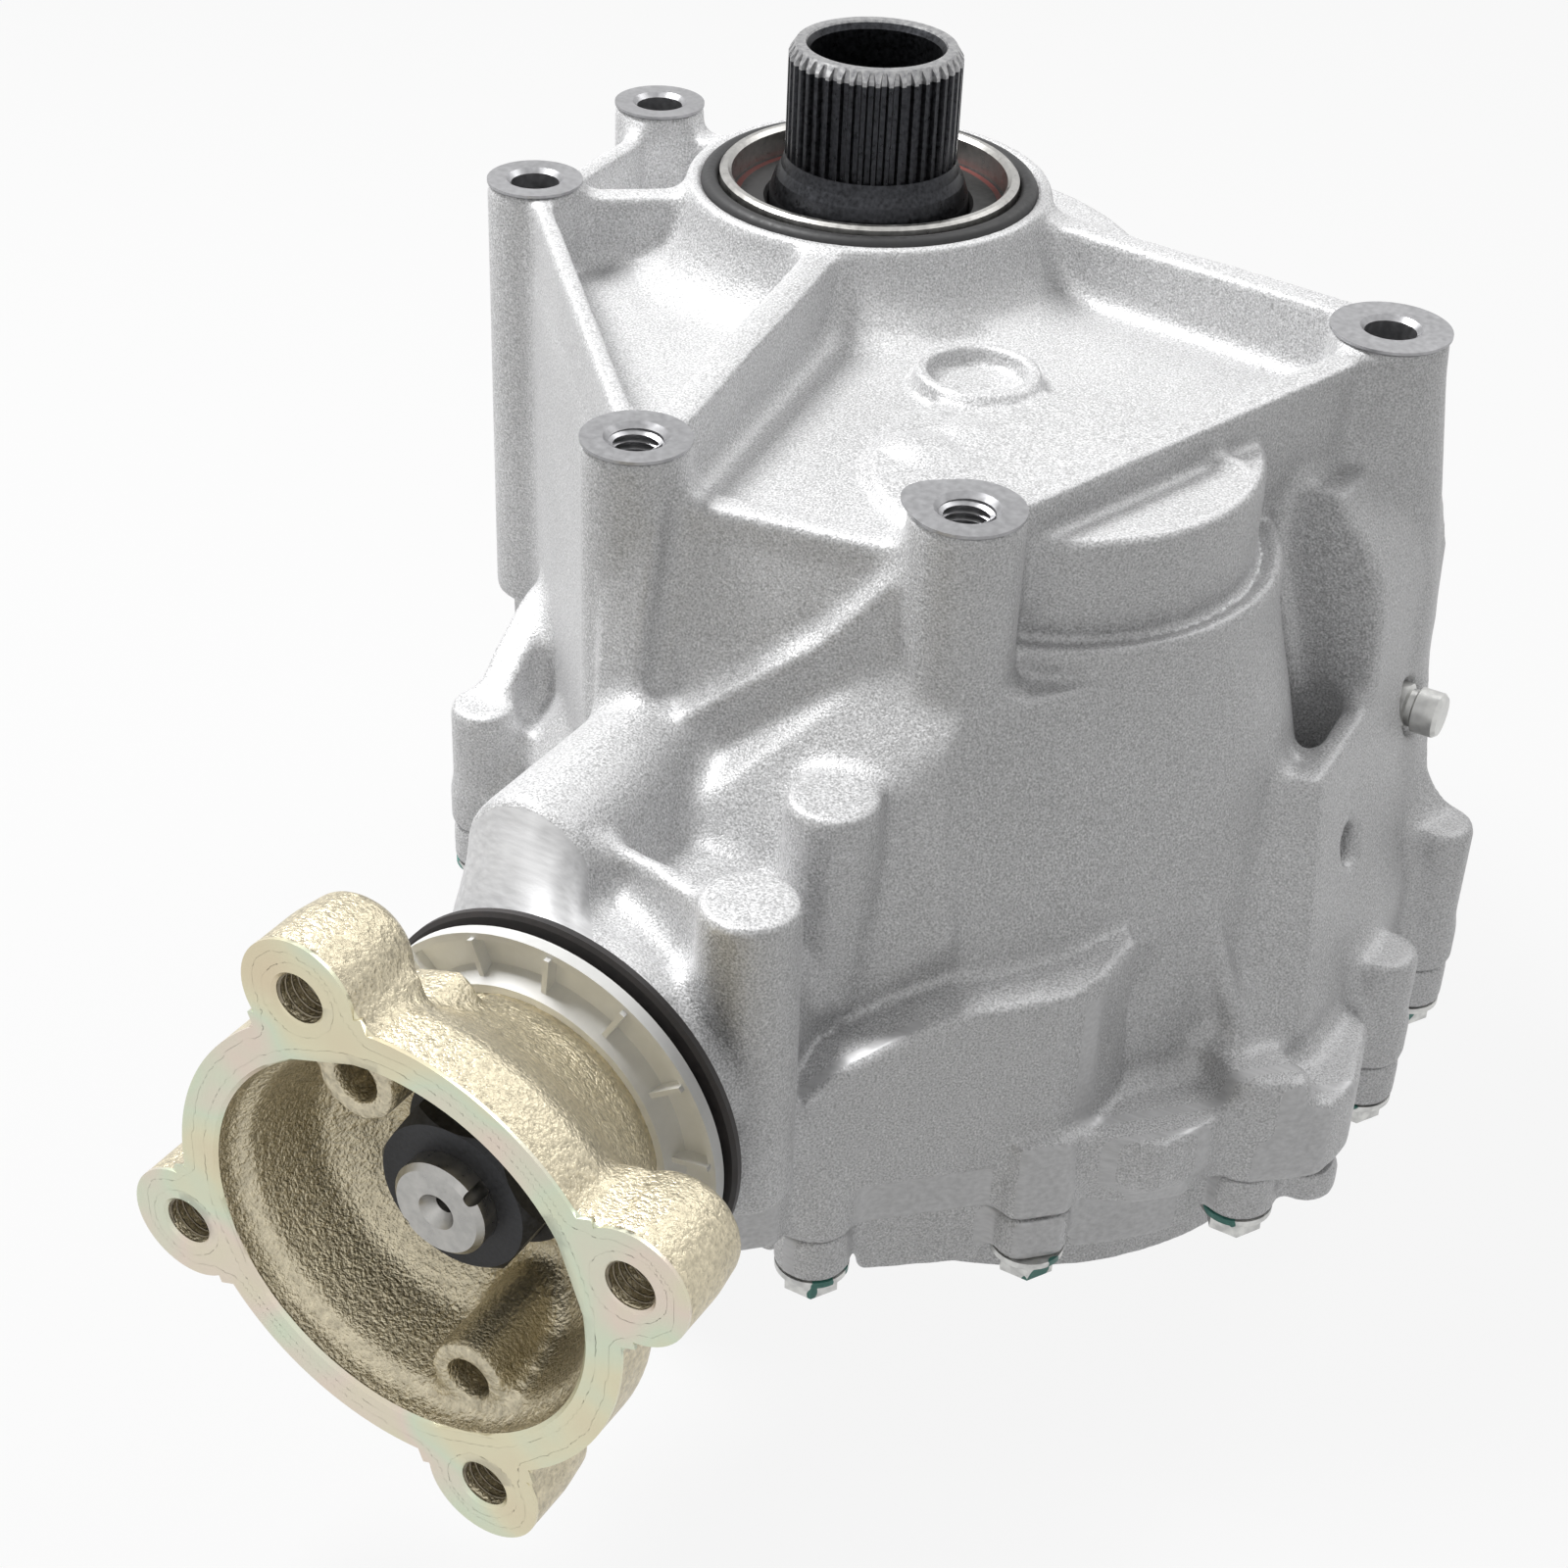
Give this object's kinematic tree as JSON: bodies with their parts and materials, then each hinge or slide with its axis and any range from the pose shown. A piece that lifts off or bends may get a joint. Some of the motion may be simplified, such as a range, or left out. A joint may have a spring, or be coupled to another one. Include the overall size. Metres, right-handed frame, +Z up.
{
  "type": "transfer case",
  "caption": "Right-angle transfer case: hollow splined input shaft, gear pair, ring gear and pinion in a ribbed cast housing, with a propshaft flange.",
  "frame": {"origin": "centre of the input shaft in the plane of the mounting bosses", "axes": "+Z up the splined input shaft, away from the case; -Y out of the propshaft flange; +X towards the second shaft"},
  "size_m": [0.2935, 0.3925, 0.2471],
  "materials": {
    "cast_aluminium": "blasted die casting with machined faces",
    "turned_steel": "turned",
    "bearing_steel": "ground",
    "gear_steel": "case hardened, ground on the working faces",
    "dark_steel": "black phosphate",
    "zinc_plated_steel": "zinc plated",
    "plated_iron": "yellow zinc plated casting with machined face",
    "black_rubber": "smooth moulded",
    "seal_rubber": "moulded",
    "shield_plastic": "ribbed, milky"
  },
  "bodies": {
    "case": {"main_housing": "cast_aluminium", "end_cover": "cast_aluminium", "cover_bolts": "zinc_plated_steel", "cover_dowels": "bearing_steel", "pilot_oring": "black_rubber", "seal_collar": "turned_steel", "input_seal": "seal_rubber", "halfshaft_seal": "seal_rubber", "pinion_seal": "seal_rubber", "vent_plug": "zinc_plated_steel", "filler_plug": "zinc_plated_steel", "input_upper_cup": "bearing_steel", "input_lower_cup": "bearing_steel", "counter_upper_cup": "bearing_steel", "counter_lower_cup": "bearing_steel", "pinion_head_cup": "bearing_steel", "pinion_tail_cup": "bearing_steel"},
    "input": {"input_shaft": "dark_steel", "input_gear": "gear_steel", "input_upper_cone": "bearing_steel", "input_lower_cone": "bearing_steel", "input_upper_rollers": "bearing_steel", "input_lower_rollers": "bearing_steel"},
    "counter": {"countershaft": "gear_steel", "ring_gear": "gear_steel", "ring_gear_bolts": "dark_steel", "driven_gear": "gear_steel", "counter_upper_cone": "bearing_steel", "counter_lower_cone": "bearing_steel", "counter_upper_rollers": "bearing_steel", "counter_lower_rollers": "bearing_steel"},
    "output": {"pinion_shaft": "gear_steel", "pinion_head_cone": "bearing_steel", "pinion_tail_cone": "bearing_steel", "pinion_head_rollers": "bearing_steel", "pinion_tail_rollers": "bearing_steel", "crush_spacer": "gear_steel", "companion_flange": "plated_iron", "dust_shield": "shield_plastic", "pinion_nut": "dark_steel"}
  },
  "joints": [
    {"name": "countershaft_spin", "type": "hinge", "parent": "case", "child": "counter", "pos_m": [0.09631, -0.08732, -0.12], "axis": [0, 0, 1], "continuous": true},
    {"name": "input_spin", "type": "hinge", "parent": "case", "child": "input", "pos_m": [0, 0, -0.08], "axis": [0, 0, 1], "continuous": true},
    {"name": "output_spin", "type": "hinge", "parent": "case", "child": "output", "pos_m": [0.067, -0.2, -0.1068], "axis": [0, -1, 0], "continuous": true}
  ],
  "couplings": [
    {"joint": "input_spin", "follows": "countershaft_spin", "ratio": -1.0968},
    {"joint": "output_spin", "follows": "countershaft_spin", "ratio": 2.7692}
  ]
}
